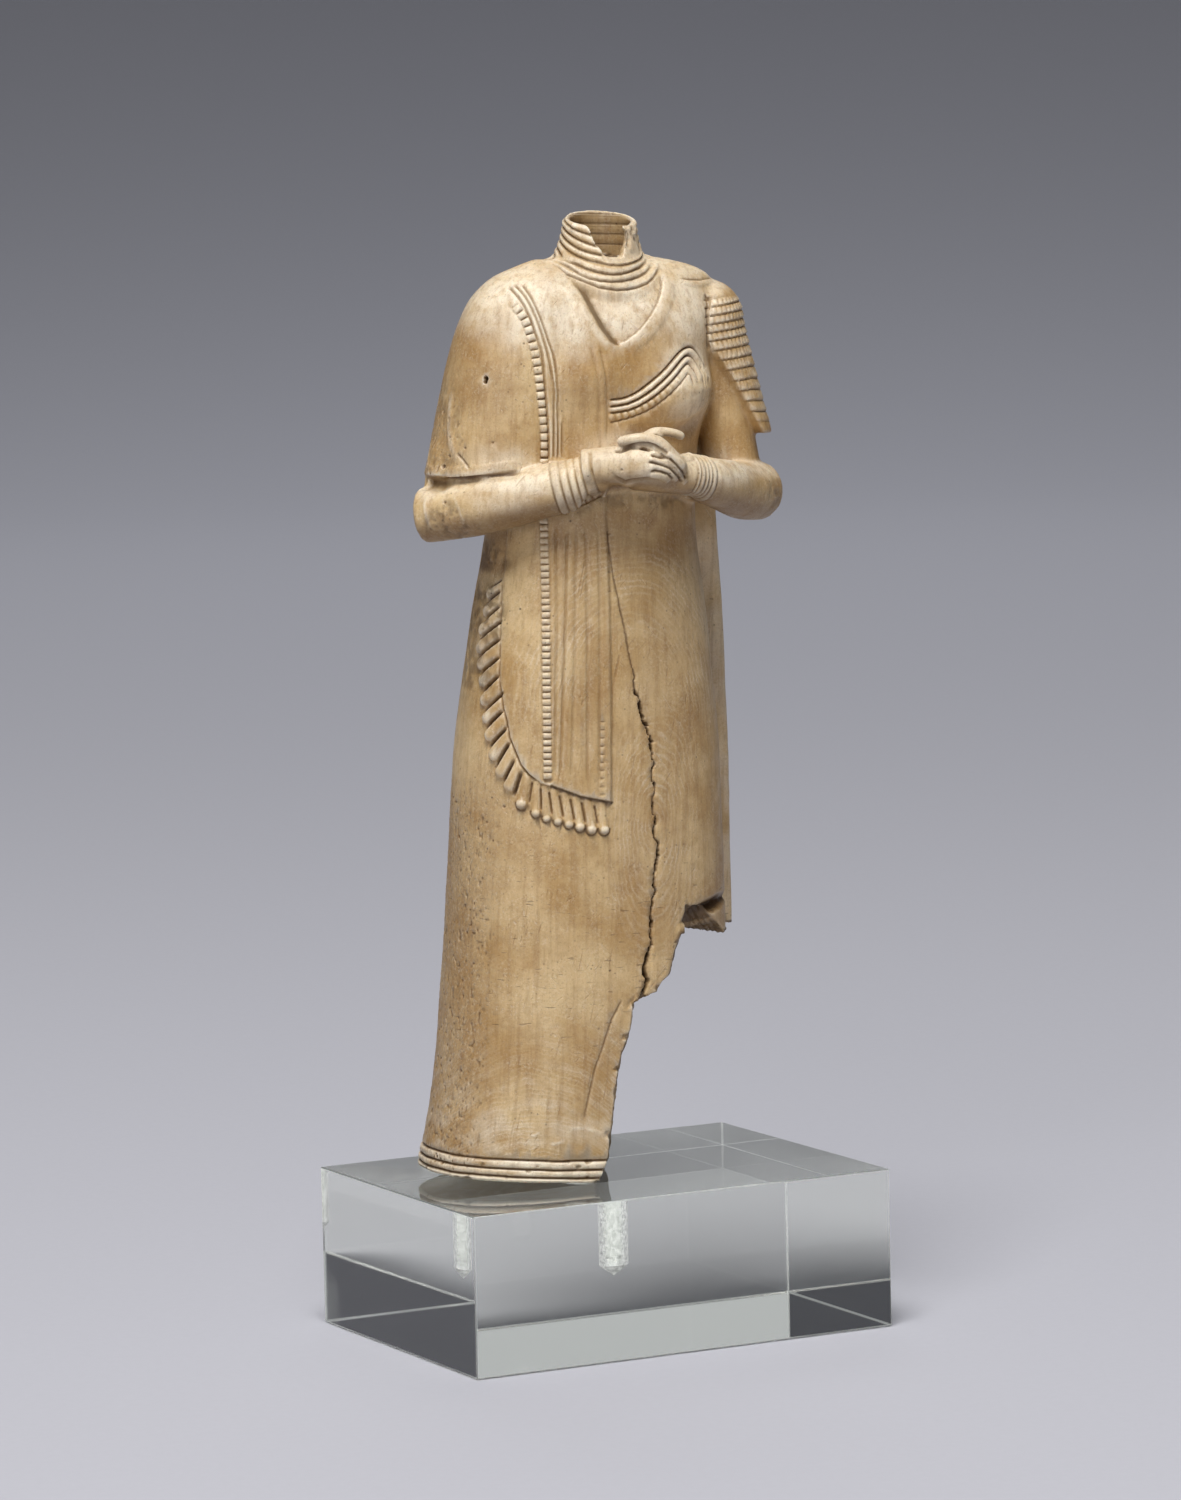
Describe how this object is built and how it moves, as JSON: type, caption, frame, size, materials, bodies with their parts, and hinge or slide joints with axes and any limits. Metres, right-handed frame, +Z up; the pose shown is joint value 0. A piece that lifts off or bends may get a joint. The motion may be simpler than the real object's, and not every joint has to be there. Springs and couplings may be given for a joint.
{
  "type": "standing female figurine",
  "caption": "Headless carved ivory standing woman with clasped hands and fringed shawl, broken low at one side, held up by a clear acrylic rod in a drilled clear block",
  "frame": {"origin": "middle of the block's underside", "axes": "+X along the block's long side towards the figurine's left, -Y to the front, +Z up; the figurine is turned 10 degrees about +Z and leans 2.6 degrees"},
  "size_m": [0.0528, 0.0388, 0.1264],
  "materials": {
    "ivory": "polished ivory, worn, stained brown in the cuts",
    "rod_acrylic": "clear cast acrylic, sawn ends",
    "block_acrylic": "clear cast acrylic, polished faces"
  },
  "bodies": {
    "root": {"figurine": "ivory", "rod": "rod_acrylic", "block": "block_acrylic"}
  },
  "joints": []
}
